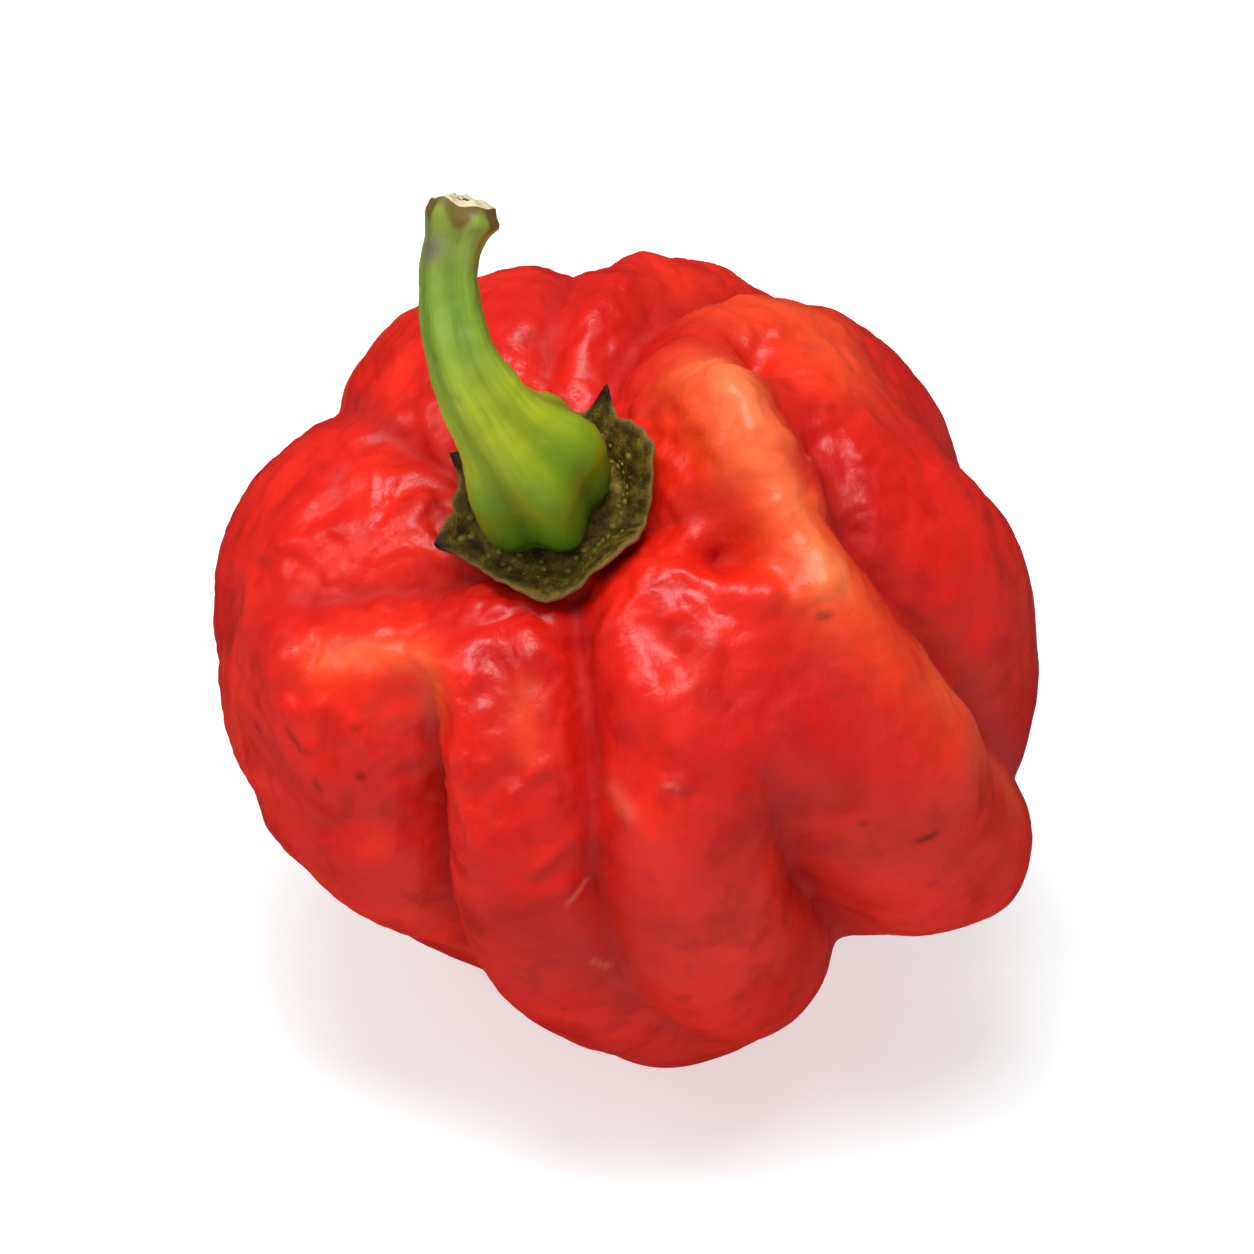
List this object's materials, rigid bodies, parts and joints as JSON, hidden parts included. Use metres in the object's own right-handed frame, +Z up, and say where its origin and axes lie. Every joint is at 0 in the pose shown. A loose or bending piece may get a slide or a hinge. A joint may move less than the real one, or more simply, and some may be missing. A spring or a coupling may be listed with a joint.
{
  "type": "chilli pepper",
  "caption": "Squat, deeply lobed Scotch bonnet chilli with a toothed, dish-shaped calyx and a bent, ridged stem, resting on three of its lobes.",
  "frame": {"origin": "on the surface that the pepper rests on, under the middle of its box", "axes": "+Z up; the pepper lies on three lobes with its calyx up, leaning to -Y, which is the front, and to -X"},
  "size_m": [0.0474, 0.0466, 0.0581],
  "materials": {
    "fruit": "ripe red skin under natural wax, glossy, with shallow wrinkles and an orange blush",
    "calyx": "drying olive green leaf tissue, rough, with a thin paler rim",
    "stem": "fresh yellow green stalk, satin, with a dry cream cut end"
  },
  "bodies": {
    "root": {"fruit": "fruit", "calyx": "calyx", "stem": "stem"}
  },
  "joints": []
}
